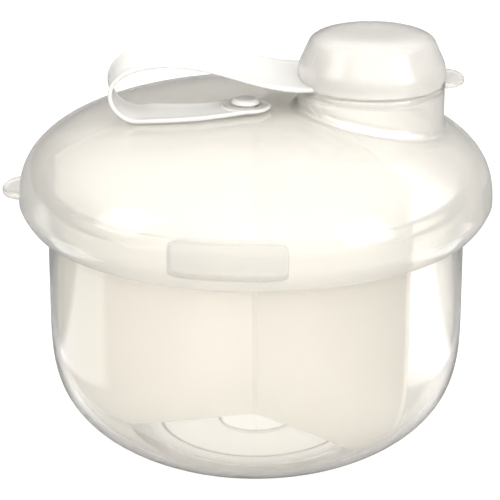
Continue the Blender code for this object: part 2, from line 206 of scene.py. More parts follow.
def slab_grid(outline: np.ndarray, low: float, high: float, edge: float, steps: int = 5) -> np.ndarray:
    """A flat plate with a round edge. Each row is the outline drawn in towards its middle
    and lifted, so that the rows run from the middle of the underside, round the edge in
    two quarter circles, to the middle of the top.

    Args:
        outline: (n, 2) closed plan outline.
        low: the underside's height.
        high: the top's height.
        edge: the radius of the round edge.
        steps: rows in each quarter circle.

    Returns:
        The (rows, n, 3) grid, which shrinks to a point at both ends.
    """
    middle = outline.mean(axis=0)
    reach = np.linalg.norm(outline - middle, axis=1)
    quarter = np.linspace(0.0, math.pi / 2, steps)
    inset = np.concatenate([edge * (1 - np.sin(quarter)), edge * (1 - np.cos(quarter))])
    height = np.concatenate([low + edge * (1 - np.cos(quarter)), high - edge * (1 - np.sin(quarter))])
    shrink = 1.0 - inset[:, None] / reach[None, :]
    fill = np.array(PLATE_FILL)[:, None] * shrink[:1]
    shares = np.concatenate([fill, shrink, fill[::-1]])
    heights = np.concatenate([np.full(len(fill), low), height, np.full(len(fill), high)])
    plan = middle + (outline - middle)[None, :, :] * shares[:, :, None]
    return np.concatenate([plan, np.broadcast_to(heights[:, None, None], (*plan.shape[:2], 1))], axis=-1)


def tongue(root: float, reach: float, half_width: float, steps: int = 40) -> np.ndarray:
    """A closed plan outline that leaves root along +X and ends at reach in half an ellipse,
    with small soft corners at its root."""
    nose = reach - half_width * TONGUE_NOSE
    angle = np.linspace(-math.pi / 2, math.pi / 2, steps)
    front = np.stack([nose + (reach - nose) * np.cos(angle), half_width * np.sin(angle)], axis=1)
    back = np.linspace(1.0, -1.0, 12)[:, None] * np.array([[0.0, half_width]]) + np.array([[root, 0.0]])
    side = np.linspace(root, nose, 8)[1:-1]
    lower = np.stack([side, np.full(6, -half_width)], axis=1)
    upper = np.stack([side[::-1], np.full(6, half_width)], axis=1)
    return np.concatenate([lower, front, upper, back])


def turn_plan(grid: np.ndarray, angle: float, centre: tuple = (0.0, 0.0)) -> np.ndarray:
    """Turns a grid about the upright axis through the origin, then moves it to centre."""
    cosine, sine = math.cos(angle), math.sin(angle)
    x = grid[..., 0] * cosine - grid[..., 1] * sine + centre[0]
    y = grid[..., 0] * sine + grid[..., 1] * cosine + centre[1]
    return np.stack([x, y, grid[..., 2]], axis=-1)


def bearing_angle(bearing: float) -> float:
    """The angle from +X, in radians, of a bearing in degrees from -Y towards +X."""
    return math.radians(bearing - 90.0)


# --- Finishes --------------------------------------------------------------------------

CLOUD_DETAIL = 3.0
FLOW_DETAIL = 1.0
FLOW_SCALE = 55.0
GRAIN_DETAIL = 2.0
GRAIN_SCALE = 2600.0
GRAIN_DISTANCE = 0.1 * MM


def moulding_group() -> bpy.types.NodeTree:
    """Clouding and flow of a thin moulding, shared by every finish.

    Returns:
        A group that puts out the cloud mask, the roughness and the normal.
    """
    group = bpy.data.node_groups.new("moulding_flow", "ShaderNodeTree")
    group.interface.new_socket("Place", in_out="INPUT", socket_type="NodeSocketVector")
    for name in ("Cloud Size", "Roughness", "Roughness Spread", "Flow Depth", "Grain Depth"):
        group.interface.new_socket(name, in_out="INPUT", socket_type="NodeSocketFloat")
    for name, kind in (("Cloud", "Float"), ("Roughness", "Float"), ("Normal", "Vector")):
        group.interface.new_socket(name, in_out="OUTPUT", socket_type=f"NodeSocket{kind}")
    nodes, links = group.nodes, group.links
    source, result = nodes.new("NodeGroupInput"), nodes.new("NodeGroupOutput")

    def noise(detail: float, scale: float | None = None) -> bpy.types.Node:
        """Adds a noise over the object's own place, at a fixed scale or the cloud size."""
        node = nodes.new("ShaderNodeTexNoise")
        node.inputs["Detail"].default_value = detail
        links.new(source.outputs["Place"], node.inputs["Vector"])
        if scale is None:
            links.new(source.outputs["Cloud Size"], node.inputs["Scale"])
        else:
            node.inputs["Scale"].default_value = scale
        return node

    def bump(height: bpy.types.Node, strength: str, distance: float) -> bpy.types.Node:
        """Adds a bump of this depth, in metres, whose strength is a named input."""
        node = nodes.new("ShaderNodeBump")
        node.inputs["Distance"].default_value = distance
        links.new(height.outputs["Fac"], node.inputs["Height"])
        links.new(source.outputs[strength], node.inputs["Strength"])
        return node

    cloud = noise(CLOUD_DETAIL)
    links.new(cloud.outputs["Fac"], result.inputs["Cloud"])
    spread = nodes.new("ShaderNodeMath")
    spread.operation = "MULTIPLY_ADD"
    links.new(cloud.outputs["Fac"], spread.inputs[0])
    links.new(source.outputs["Roughness Spread"], spread.inputs[1])
    links.new(source.outputs["Roughness"], spread.inputs[2])
    links.new(spread.outputs["Value"], result.inputs["Roughness"])
    wave = bump(noise(FLOW_DETAIL, FLOW_SCALE), "Flow Depth", MM)
    fine = bump(noise(GRAIN_DETAIL, GRAIN_SCALE), "Grain Depth", GRAIN_DISTANCE)
    links.new(wave.outputs["Normal"], fine.inputs["Normal"])
    links.new(fine.outputs["Normal"], result.inputs["Normal"])
    return group


@dataclass(frozen=True)
class MilkyPlastic:
    """A translucent polypropylene. Light passes through it and is scattered by it."""

    name: str
    clear: tuple[float, float, float]
    dense: tuple[float, float, float]
    transmission: float
    roughness: float
    roughness_spread: float
    index: float
    cloud_size: float = 30.0
    flow_depth: float = 0.12
    grain_depth: float = 0.05

    def material(self, moulding: bpy.types.NodeTree) -> bpy.types.Material:
        """Builds the material.

        Args:
            moulding: the shared node group.

        Returns:
            The material, whose colour drifts between its clear and dense tones.
        """
        material = bpy.data.materials.new(self.name)
        material.use_nodes = True
        nodes, links = material.node_tree.nodes, material.node_tree.links
        shader = nodes["Principled BSDF"]
        shader.inputs["Transmission Weight"].default_value = self.transmission
        shader.inputs["IOR"].default_value = self.index
        place = nodes.new("ShaderNodeTexCoord")
        flow = nodes.new("ShaderNodeGroup")
        flow.node_tree = moulding
        for name, value in (
            ("Cloud Size", self.cloud_size),
            ("Roughness", self.roughness),
            ("Roughness Spread", self.roughness_spread),
            ("Flow Depth", self.flow_depth),
            ("Grain Depth", self.grain_depth),
        ):
            flow.inputs[name].default_value = value
        links.new(place.outputs["Object"], flow.inputs["Place"])
        tone = nodes.new("ShaderNodeMix")
        tone.data_type = "RGBA"
        tone.inputs["A"].default_value = (*self.clear, 1.0)
        tone.inputs["B"].default_value = (*self.dense, 1.0)
        links.new(flow.outputs["Cloud"], tone.inputs["Factor"])
        links.new(tone.outputs["Result"], shader.inputs["Base Color"])
        links.new(flow.outputs["Roughness"], shader.inputs["Roughness"])
        links.new(flow.outputs["Normal"], shader.inputs["Normal"])
        return material


class Finishes:
    """The dispenser's materials, by the record's slot names."""

    def __init__(self) -> None:
        """Builds the shared node group and every material."""
        moulding = moulding_group()
        looks = (
            MilkyPlastic(
                name="bowl_plastic",
                clear=(0.99, 0.97, 0.93),
                dense=(0.975, 0.95, 0.90),
                transmission=0.88,
                roughness=0.03,
                roughness_spread=0.02,
                index=1.48,
                flow_depth=0.0,
                grain_depth=0.0,
            ),
            MilkyPlastic("divider_plastic", (1, 0.975, 0.92), (0.995, 0.965, 0.9), 0.24, 0.35, 0.06, 1.35),
            MilkyPlastic("lid_plastic", (0.95, 0.931, 0.89), (0.935, 0.911, 0.86), 0.76, 0.12, 0.05, 1.45),
            MilkyPlastic("cap_plastic", (0.915, 0.897, 0.864), (0.9, 0.878, 0.838), 0.72, 0.14, 0.04, 1.45),
            MilkyPlastic("strap_plastic", (0.84, 0.828, 0.8), (0.825, 0.808, 0.776), 0.5, 0.15, 0.04, 1.4),
        )
        self.by_slot = {look.name: look.material(moulding) for look in looks}

    def dress(self, piece: bpy.types.Object, slot: str, body: str) -> bpy.types.Object:
        """Gives a piece its material, names its slot and lets it ride on a body."""
        piece.data.materials.append(self.by_slot[slot])
        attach(piece, body)
        log.info("%s rides on %s in %s", piece.name, body, slot)
        return piece


# --- Bowl ------------------------------------------------------------------------------


@dataclass
class Bowl:
    """The round tub: a foot ring, a rounded side, an upright wall and a snap bead."""

    radius: float = 49.45
    wall: float = 1.6
    rim_z: float = 66.0
    curve_height: float = 36.1
    side_power: float = 1.16
    rise_power: float = 3.75
    foot_radius: float = 27.2
    foot_inner_radius: float = 24.0
    foot_pad_radius: float = 9.0
    foot_recess: float = 1.8
    floor_z: float = 3.6
    inner_drop: float = 0.55
    inner_overrun: float = 4.0
    bead_z: float = 62.5
    bead_half: float = 1.2
    bead_stand: float = 0.6
    columns: int = 224

    def radius_at(self, z: np.ndarray) -> np.ndarray:
        """The outer radius at height z: a squashed quarter circle from the foot up to the
        upright wall, with separate powers for its two directions."""
        cosine = np.clip(1.0 - np.asarray(z) / self.curve_height, 0.0, 1.0) ** (self.rise_power / 2)
        sine = np.sqrt(1.0 - cosine**2)
        return self.foot_radius + (self.radius - self.foot_radius) * sine ** (2 / self.side_power)

    def inner_radius_at(self, z: np.ndarray, inset: float) -> np.ndarray:
        """The radius of a surface this far inside the wall."""
        return self.radius_at(np.maximum(np.asarray(z) - inset * self.inner_drop, 0.0)) - inset

    def inner_curve(self, floor: float, inset: float, rows: int) -> np.ndarray:
        """The rounded side's (radius, height) from a floor up to a little over the side's
        top, with its points closer together near the floor."""
        share = np.linspace(0.0, 1.0, rows) ** RUNG_CROWDING
        z = floor + (self.curve_height + self.inner_overrun - floor) * share
        return np.stack([self.inner_radius_at(z, inset), z], axis=1)

    def outer_profile(self) -> np.ndarray:
        """From the middle of the underside, over the foot ring and up to the rim."""
        ring = softened(
            [
                (0.0, 0.0, 0),
                (self.foot_pad_radius, 0.0, 0.5),
                (self.foot_pad_radius, self.foot_recess, 0.8),
                (self.foot_inner_radius, self.foot_recess, 0.8),
                (self.foot_inner_radius, 0.0, 0.5),
                (self.foot_radius, 0.0, 0),
            ]
        )
        angle = np.linspace(0.0, math.pi / 2, 80)[1:]
        widening = self.radius - self.foot_radius
        side_r = self.foot_radius + widening * np.sin(angle) ** (2 / self.side_power)
        side_z = self.curve_height * (1 - np.clip(np.cos(angle), 0, 1) ** (2 / self.rise_power))
        plain_z = np.linspace(self.curve_height, self.bead_z - self.bead_half, 10)[1:]
        bead_z = np.linspace(-1.0, 1.0, 15)[1:]
        bead_r = self.radius + self.bead_stand * np.cos(bead_z * math.pi / 2) ** 2
        return np.concatenate(
            [
                ring,
                np.stack([side_r, side_z], axis=1),
                np.stack([np.full(9, self.radius), plain_z], axis=1),
                np.stack([bead_r, self.bead_z + bead_z * self.bead_half], axis=1),
            ]
        )

    def profile(self) -> np.ndarray:
        """The whole closed section: outside, a half-round rim, then the inside and floor."""
        half = self.wall / 2
        over = np.linspace(0.0, math.pi, 13)[:, None]
        rim = [self.radius - half, self.rim_z - half] + half * np.hstack([np.cos(over), np.sin(over)])
        inner = self.inner_curve(self.floor_z, self.wall, 70)[::-1]
        return np.concatenate([self.outer_profile(), rim, inner, [[0.0, self.floor_z]]])

    def build(self, finishes: Finishes) -> None:
        """Makes the bowl."""
        piece = surface("bowl_moulding", turned_grid(self.profile(), self.columns), Ends.OPEN)
        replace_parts(finishes.dress(piece, "bowl_plastic", "bowl"), "bowl")


# --- Lid -------------------------------------------------------------------------------


@dataclass
class Lid:
    """The dome lid with its spout neck, thumb tab, lugs and strap stud."""

    radius: float = 56.0
    equator_z: float = 60.95
    dome_height: float = 23.45
    dome_power: float = 2.6
    edge_radius: float = 53.25
    edge_z: float = 56.2
    edge_bulge: float = 0.27
    edge_lift: float = 0.3
    edge_soft: float = 0.35
    wall: float = 1.6
    spout_bearing: float = 83.5
    spout_offset: float = 27.05
    neck_radius: float = 17.0
    neck_wall: float = 1.5
    neck_fillet: float = 2.3
    neck_rise: float = 2.6
    neck_inner_step: float = 1.0
    neck_inner_drop: float = 3.0
    neck_outer_drop: float = 1.2
    shoulder_z: float = 89.3
    tube_radius: float = 13.4
    bore_radius: float = 12.0
    tube_top_z: float = 96.8
    lug_count: int = 4
    lug_half_angle: float = 14.0
    lug_inner_radius: float = 50.5
    lug_outer_radius: float = 54.9
    lug_low_z: float = 59.3
    lug_high_z: float = 67.5
    lug_edge: float = 0.6
    lug_points: int = 72
    lug_twist: float = 0.01
    lug_boxiness: float = 0.25
    tab_reach: float = 61.2
    tab_half_width: float = 7.5
    tab_z: float = 60.6
    tab_thickness: float = 1.7
    tab_edge: float = 0.7
    tab_root: float = 1.0
    stud: Pair = (-2.4, -8.7)
    stud_radius: float = 2.2
    stud_head_radius: float = 3.4
    stud_head_thickness: float = 1.0
    stud_head_slope: float = 0.7
    stud_shank: float = 3.0
    columns: int = 288
    spout: Pair = field(init=False)

    def __post_init__(self) -> None:
        """Works out the spout's place in plan."""
        angle = bearing_angle(self.spout_bearing)
        self.spout = (self.spout_offset * math.cos(angle), self.spout_offset * math.sin(angle))

    def dome_z(self, radius: np.ndarray, inset: float = 0.0) -> np.ndarray:
        """The dome's height at a radius: a superellipse over the widest ring."""
        share = np.clip(np.asarray(radius) / (self.radius - inset), 0.0, 1.0) ** self.dome_power
        return self.equator_z + (self.dome_height - inset) * (1.0 - share) ** (1 / self.dome_power)

    def spread(self, hole: float, inset: float, rows: int) -> tuple[np.ndarray, np.ndarray]:
        """Spreads rows from a round hole about the spout out to the dome's widest ring.

        The plan is first drawn on a disc whose radius is the dome's slope angle, which
        keeps the rows even where the dome turns upright. There each row is a straight
        share of the way from the hole, along rays from the spout, to the unit circle.

        Args:
            hole: the hole's radius about the spout.
            inset: how far inside the outer dome the surface lies.
            rows: rows from the hole to the ring.

        Returns:
            The (rows, columns, 3) grid, and each column's angle on the ring.
        """
        outer = self.radius - inset
        angle = around(self.columns)
        centre = np.array(self.spout)
        rim = centre + hole * np.stack([np.cos(angle), np.sin(angle)], axis=1)

        def to_disc(plan: np.ndarray) -> np.ndarray:
            """Scales each plan radius to its share of a quarter turn on the dome."""
            reach = np.linalg.norm(plan, axis=-1, keepdims=True)
            return plan / reach * np.arcsin(np.clip(reach / outer, 0, 1)) * 2 / math.pi

        start, middle = to_disc(rim), to_disc(centre[None, :])
        ray = start - middle
        ray /= np.linalg.norm(ray, axis=1, keepdims=True)
        along = (middle * ray).sum(axis=1, keepdims=True)
        end = middle + ray * (-along + np.sqrt(along**2 - (middle**2).sum() + 1.0))
        share = np.linspace(0.0, 1.0, rows)[:, None, None]
        disc = start + (end - start) * share
        reach = np.linalg.norm(disc, axis=-1, keepdims=True)
        plan = disc / np.maximum(reach, 1e-9) * outer * np.sin(reach * math.pi / 2)
        height = self.dome_z(np.linalg.norm(plan, axis=-1, keepdims=True), inset)
        return np.concatenate([plan, height], axis=-1), np.arctan2(end[:, 1], end[:, 0])

    def fillet(self, hole: float, neck: float, rise: float, inset: float, rows: int) -> np.ndarray:
        """Sweeps the dome into the neck: at each column a quadratic curve that leaves the
        dome along its slope and arrives upright on the neck.

        Args:
            hole: the radius about the spout where the dome ends.
            neck: the neck's radius.
            rise: how far up the neck the curve ends.
            inset: how far inside the outer dome the surface lies.
            rows: rows along the curve, from the dome to the neck.

        Returns:
            The (rows, columns, 3) grid.
        """
        angle = around(self.columns)
        ray = np.stack([np.cos(angle), np.sin(angle)], axis=1)
        step = 0.1
        near = self.dome_z(np.linalg.norm(np.array(self.spout) + ray * hole, axis=1), inset)
        far = self.dome_z(np.linalg.norm(np.array(self.spout) + ray * (hole + step), axis=1), inset)
        knee = near + (near - far) / step * (hole - neck)
        t = np.linspace(0.0, 1.0, rows)[:, None]
        radius = (1 - t) ** 2 * hole + (1 - (1 - t) ** 2) * neck
        height = (1 - t) ** 2 * near + 2 * t * (1 - t) * knee + t**2 * (knee + rise)
        return self.about_spout(radius, height)

    def about_spout(self, radius: np.ndarray, height: np.ndarray) -> np.ndarray:
        """Places radii and (rows, columns) heights about the spout's axis."""
        angle = around(self.columns)
        x = self.spout[0] + radius * np.cos(angle)
        y = self.spout[1] + radius * np.sin(angle)
        return np.stack([x, y, height], axis=-1)

    def neck_rows(self) -> np.ndarray:
        """The rows about the spout's axis, from inside the neck, up the bore, over the
        tube's lip, down to the shoulder and out to the neck."""
        inner = self.neck_radius - self.neck_wall
        outline = softened(
            [
                (inner, self.shoulder_z - self.neck_inner_drop, 0),
                (inner, self.shoulder_z - self.neck_wall, 0.8),
                (self.bore_radius, self.shoulder_z - self.neck_wall, 0.6),
                (self.bore_radius, self.tube_top_z, 0.5),
                (self.tube_radius, self.tube_top_z, 0.5),
                (self.tube_radius, self.shoulder_z, 0.8),
                (self.neck_radius, self.shoulder_z, 0.7),
                (self.neck_radius, self.shoulder_z - self.neck_outer_drop, 0),
            ]
        )
        radius, height = outline[:, :1], outline[:, 1:] + np.zeros(self.columns)
        return self.about_spout(radius, height)

    def skirt_rows(self, inset: float, angle: np.ndarray, rows: int = 14) -> np.ndarray:
        """The rows from the widest ring down to the lid's edge: a slope mixed with a little
        of a quarter round."""
        share = np.linspace(0.0, 1.0, rows)[1:, None]
        turn = share * math.pi / 2
        across = share + (1 - np.cos(turn) - share) * self.edge_bulge
        down = share + (np.sin(turn) - share) * self.edge_bulge
        radius = self.radius - inset - (self.radius - self.edge_radius) * across
        height = self.equator_z - (self.equator_z - self.edge_z - self.edge_lift) * down
        height = np.broadcast_to(height, (rows - 1, self.columns))
        return np.stack([radius * np.cos(angle), radius * np.sin(angle), height], axis=-1)

    def shell(self) -> np.ndarray:
        """The whole lid as one grid of rows, joined end to end: up the inside, over the
        spout's lip, down the outside and round the bottom edge."""
        inner_neck = self.neck_radius - self.neck_wall
        inner_hole = inner_neck + self.neck_inner_step
        outer_hole = self.neck_radius + self.neck_fillet
        inside, inner_angle = self.spread(inner_hole, self.wall, 60)
        outside, outer_angle = self.spread(outer_hole, 0.0, 110)
        inner_skirt = self.skirt_rows(self.wall, inner_angle)
        outer_skirt = self.skirt_rows(0.0, outer_angle)
        low = np.array([0.0, 0.0, self.edge_z])
        soft = self.edge_soft / self.edge_radius
        edge_out = outer_skirt[-1] * [1, 1, 0] * (1 - soft) + low
        edge_in = inner_skirt[-1] * [1, 1, 0] * (1 + soft) + low
        inner_fillet = self.fillet(inner_hole, inner_neck, self.neck_inner_step, self.wall, 7)
        outer_fillet = self.fillet(outer_hole, self.neck_radius, self.neck_rise, 0.0, 14)
        return np.concatenate(
            [
                edge_in[None],
                inner_skirt[::-1],
                inside[::-1],
                inner_fillet[1:],
                self.neck_rows(),
                outer_fillet[::-1],
                outside[1:],
                outer_skirt,
                edge_out[None],
            ]
        )

    def lug_grid(self, bearing: float) -> np.ndarray:
        """One lug: a plate drawn in arc length and height, then wrapped on the skirt."""
        half = math.radians(self.lug_half_angle) * self.lug_inner_radius
        angle = around(self.lug_points) + self.lug_twist
        boxy = np.stack([np.cos(angle), np.sin(angle)], axis=1)
        boxy = np.sign(boxy) * np.abs(boxy) ** self.lug_boxiness
        middle = (self.lug_low_z + self.lug_high_z) / 2
        outline = boxy * [half, (self.lug_high_z - self.lug_low_z) / 2] + [0.0, middle]
        plate = slab_grid(outline, self.lug_inner_radius, self.lug_outer_radius, self.lug_edge)
        round_ = plate[..., 0] / self.lug_inner_radius + bearing_angle(bearing)
        reach = plate[..., 2]
        return np.stack([reach * np.cos(round_), reach * np.sin(round_), plate[..., 1]], axis=-1)

    def stud_grid(self, head_low: float) -> np.ndarray:
        """The stud: a short shank with a round mushroom head."""
        top = head_low + self.stud_head_thickness
        outline = softened(
            [
                (0.0, top, 0),
                (self.stud_head_radius - self.stud_head_slope, top, 0.6),
                (self.stud_head_radius, head_low + 0.1, 0.3),
                (self.stud_head_radius - 0.1, head_low, 0.1),
                (self.stud_radius, head_low, 0.25),
                (self.stud_radius, head_low - self.stud_shank, 0.1),
                (0.0, head_low - self.stud_shank, 0),
            ]
        )
        return turned_grid(outline, 64, self.stud)

    def build(self, finishes: Finishes, stud_head_z: float) -> None:
        """Makes the lid and the small shapes on it.

        Args:
            finishes: the materials.
            stud_head_z: the height of the underside of the stud's head.
        """
        shell = surface("lid_moulding", self.shell(), Ends.JOINED)
        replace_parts(finishes.dress(shell, "lid_plastic", "lid"), "lid")
        for i in range(self.lug_count):
            lug = self.lug_grid(self.spout_bearing + i * 360.0 / self.lug_count)
            finishes.dress(surface(f"lid_lug_{i + 1}", lug, Ends.OPEN), "lid_plastic", "lid")
        half = self.tab_thickness / 2
        outline = tongue(self.radius - self.tab_root, self.tab_reach, self.tab_half_width)
        tab = slab_grid(outline, self.tab_z - half, self.tab_z + half, self.tab_edge)
        tab = turn_plan(tab, bearing_angle(self.spout_bearing + 180.0))
        finishes.dress(surface("lid_thumb_tab", tab, Ends.OPEN), "lid_plastic", "lid")
        stud = surface("lid_strap_stud", self.stud_grid(stud_head_z), Ends.OPEN)
        finishes.dress(stud, "strap_plastic", "lid")


# --- Spout cap -------------------------------------------------------------------------


@dataclass
class SpoutCap:
    """The press-on cap: an upright rim, a cone, a domed crown and a pull tab."""

    spout: tuple[float, float]
    pull_bearing: float = 90.0
    radius: float = 17.2
    rim_z: float = 89.65
    upright: float = 3.9
    brow_height: float = 9.5
    brow_radius: float = 14.7
    height: float = 12.35
    brow_tension: float = 2.8
    crown_tension: float = 6.8
    wall: float = 1.3
    brow_drop: float = 0.4
    rim_round: float = 1.6
    lip_share: float = 0.3
    lip_lift: float = 0.35
    pull_root: float = 0.7
    pull_reach: float = 21.5
    pull_half_width: float = 7.0
    pull_thickness: float = 1.3
    pull_edge: float = 0.55
    columns: int = 160

    def side(self, inset: float) -> np.ndarray:
        """The section from the middle of the crown down to the rim: a curve that leaves the
        axis level and meets the cone along its slope, then the cone, then the rim."""
        rim = self.radius - inset
        brow = np.array([self.brow_radius - inset, self.brow_height - inset * self.brow_drop])
        lean = np.array([rim, self.upright]) - brow
        lean /= np.linalg.norm(lean)
        top = self.height - inset
        crown = bezier([(0.0, top), (self.crown_tension, top), brow - lean * self.brow_tension, brow], 40)
        below = softened([(*brow, 0), (rim, self.upright, self.rim_round), (rim, self.lip_lift, 0)], 9)
        return np.concatenate([crown[:-1], below]) + [0.0, self.rim_z]

    def profile(self) -> np.ndarray:
        """The closed section: outside, a soft rim, then the inside."""
        lip = self.wall * self.lip_share
        rim = [[self.radius - lip, self.rim_z], [self.radius - self.wall + lip, self.rim_z]]
        return np.concatenate([self.side(0.0), rim, self.side(self.wall)[::-1]])

    def build(self, finishes: Finishes) -> None:
        """Makes the cap and its pull tab."""
        shell = turned_grid(self.profile(), self.columns, self.spout)
        cap = surface("spout_cap_moulding", shell, Ends.OPEN)
        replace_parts(finishes.dress(cap, "cap_plastic", "cap"), "spout_cap")
        outline = tongue(self.radius - self.pull_root, self.pull_reach, self.pull_half_width)
        pull = slab_grid(outline, self.rim_z, self.rim_z + self.pull_thickness, self.pull_edge)
        pull = turn_plan(pull, bearing_angle(self.pull_bearing), self.spout)
        finishes.dress(surface("spout_cap_pull", pull, Ends.OPEN), "cap_plastic", "cap")


# --- Strap -----------------------------------------------------------------------------


@dataclass
class Strap:
    """The flat strap that loops from its stud on the lid, round a bend, to the cap."""

    lid: Lid
    cap: SpoutCap
    thickness: float = 1.0
    lift: float = 0.95
    bend: tuple[float, float, float] = (-33.7, -7.4, 89.6)
    crest_x: float = -20.0
    crest_z: float = 97.2
    lower_turn: Pair = (-27.0, -9.5)
    lower_bow: float = 3.2
    widths: tuple[float, ...] = (10.8, 10.8, 11.5, 13.0, 20.0)
    tilts: tuple[float, ...] = (0.0, 5.0, 5.0, 15.0, 5.0)
    upper_end_offset: float = 10.2
    upper_end_lift: float = 0.9
    fall_rate: float = 1.18
    smoothing: int = 15
    edge_share: float = 0.07
    middle_share: float = 0.62
    cheek_share: float = 0.9
    end_radius: float = 6.0
    end_soft: float = 0.35
    end_rim: float = 1.1
    end_slope: float = 1.5
    end_sunk: float = 0.35
    eye_radius: float = 2.6
    flex_low: float = 1.715
    flex_high: float = 1.876
    flex_lean: float = 0.18
    rows: int = 260

    def heading(self) -> np.ndarray:
        """The plan direction from the bend to the cap."""
        way = np.array(self.lid.spout) - np.array(self.bend[:2])
        return way / np.linalg.norm(way)

    def dome_top(self, plan: np.ndarray) -> np.ndarray:
        """The height of the strap's middle where it lies over the dome."""
        return self.lid.dome_z(np.linalg.norm(plan, axis=-1)) + self.lift

    def path(self) -> tuple[np.ndarray, np.ndarray]:
        """The strap's middle line, and how far along its four stretches each point is.

        The lower band runs over the dome and bows towards the front, the bend rises in
        two quarter ellipses to the crest, and the upper band falls to the cap in half a
        cosine wave.
        """
        stud, bend = np.array(self.lid.stud), np.array(self.bend)
        share = np.linspace(0.0, 1.0, 80)[:, None]
        plan = stud + (np.array(self.lower_turn) - stud) * share
        plan = plan - [0.0, 1.0] * np.sin(math.pi * share) * self.lower_bow
        lower = np.column_stack([plan, self.dome_top(plan)])

        turn = np.linspace(0.0, math.pi / 2, 50)[1:, None]
        foot = lower[-1]
        rise = bend[:2] + (foot[:2] - bend[:2]) * (1 - np.sin(turn))
        lower_bend = np.column_stack([rise, bend[2] + (foot[2] - bend[2]) * np.cos(turn[:, 0])])

        heading = self.heading()
        reach = (self.crest_x - bend[0]) / heading[0]
        over = bend[:2] + heading * reach * (1 - np.cos(turn))
        upper_bend = np.column_stack([over, bend[2] + (self.crest_z - bend[2]) * np.sin(turn[:, 0])])

        crest = upper_bend[-1]
        end_z = self.cap.rim_z + self.thickness / 2 + self.upper_end_lift
        end = np.array([*(np.array(self.lid.spout) - heading * self.upper_end_offset), end_z])
        share = np.linspace(0.0, 1.0, 90)[1:, None]
        fall = (1 + np.cos(math.pi * np.minimum(1.0, share[:, 0] * self.fall_rate))) / 2
        plan = crest[:2] + (end[:2] - crest[:2]) * share
        upper = np.column_stack([plan, end[2] + (crest[2] - end[2]) * fall])

        parts = (lower, lower_bend, upper_bend, upper)
        steps = [np.linspace(0.0, 1.0, len(part) + (i > 0))[i > 0 :] for i, part in enumerate(parts)]
        progress = np.concatenate([i + step for i, step in enumerate(steps)])
        return np.concatenate(parts), progress

    def smooth_path(self) -> tuple[np.ndarray, np.ndarray]:
        """The middle line resampled evenly by length and then averaged over a short reach,
        so that its stretches flow into each other."""
        line, progress = self.path()
        length = np.concatenate([[0.0], np.cumsum(np.linalg.norm(np.diff(line, axis=0), axis=1))])
        even = np.linspace(0.0, length[-1], self.rows)
        line = np.stack([np.interp(even, length, line[:, axis]) for axis in range(3)], axis=1)
        progress = np.interp(even, length, progress)
        window = np.hanning(self.smoothing + 2)[1:-1]
        window /= window.sum()
        pad = len(window) // 2
        before = 2 * line[0] - line[pad:0:-1]
        after = 2 * line[-1] - line[-2 : -pad - 2 : -1]
        padded = np.concatenate([before, line, after])
        line = np.stack([np.convolve(padded[:, axis], window, "valid") for axis in range(3)], axis=1)
        return line, progress

    def section(self) -> np.ndarray:
        """The strap's section as (share of half width, share of half thickness): a flat
        band with round edges that stand a little proud of its middle."""
        turn = np.linspace(-math.pi / 2, math.pi / 2, 9)
        cheek = np.linspace(1.0, -1.0, 14)[1:-1]
        hollow = self.middle_share + (1 - self.middle_share) * np.abs(cheek) ** 6
        right = np.stack([1.0 - self.edge_share * (1 - np.cos(turn)), np.sin(turn)], axis=1)
        top = np.stack([cheek * self.cheek_share, hollow], axis=1)
        return np.concatenate([right, top, -right, -top])

    def grid(self) -> np.ndarray:
        """The section carried along the middle line, level but for its tilt, and cut to the
        cap's wall: each share of the width ends where it meets the cap's round side."""
        line, progress = self.smooth_path()
        heading = self.heading()
        stations = np.arange(len(self.widths))
        width = np.interp(progress, stations, self.widths)
        tilt = np.radians(np.interp(progress, stations, self.tilts))
        along = np.gradient(line, axis=0)
        along /= np.linalg.norm(along, axis=1, keepdims=True)
        level = np.array([-heading[1], heading[0], 0.0])
        across = level * np.cos(tilt)[:, None] + np.array([0.0, 0.0, 1.0]) * np.sin(tilt)[:, None]
        across -= along * (across * along).sum(axis=1, keepdims=True)
        across /= np.linalg.norm(across, axis=1, keepdims=True)
        up = np.cross(along, across) * self.thickness / 2
        section = self.section()
        side = across[:, None, :] * (width / 2)[:, None, None] * section[None, :, :1]
        grid = line[:, None, :] + side + up[:, None, :] * section[None, :, 1:]
        return self.cut_to_cap(grid)

    def cut_to_cap(self, grid: np.ndarray) -> np.ndarray:
        """Resamples each column so that it ends inside the cap's wall."""
        heading = self.heading()
        plan = grid[..., :2] - np.array(self.lid.spout)
        ahead = plan @ heading
        aside = plan @ np.array([-heading[1], heading[0]])
        wall = self.cap.radius - self.cap.wall / 2
        stop = -np.sqrt(np.maximum(wall**2 - aside[-1] ** 2, 0.0))
        steps = np.arange(self.rows, dtype=float)
        last_half = slice(self.rows // 2, None)
        columns = []
        for k in range(grid.shape[1]):
            finish = np.interp(stop[k], ahead[last_half, k], steps[last_half])
            wanted = steps * finish / steps[-1]
            column = [np.interp(wanted, steps, grid[:, k, axis]) for axis in range(3)]
            columns.append(np.stack(column, axis=1))
        return np.stack(columns, axis=1)

    def end_height(self) -> float:
        """The height of the strap's middle at the stud."""
        return float(self.dome_top(np.array(self.lid.stud)))

    def end_grid(self) -> np.ndarray:
        """The strap's round end about the stud: a ring with a raised rim."""
        low = self.end_height() - self.thickness / 2
        high = self.end_height() + self.thickness / 2
        outline = softened(
            [
                (self.eye_radius, low, 0),
                (self.end_radius - self.end_soft, low, 0.3),
                (self.end_radius, low + self.thickness / 2, 0.3),
                (self.end_radius - self.end_soft, high, 0.3),
                (self.end_radius - self.end_rim, high - 0.1, 0.2),
                (self.end_radius - self.end_slope, high - self.end_sunk, 0.2),
                (self.eye_radius + 0.3, high - self.end_sunk, 0.2),
                (self.eye_radius, high - self.end_sunk - 0.2, 0),
            ]
        )
        return turned_grid(outline, 96, self.lid.stud)

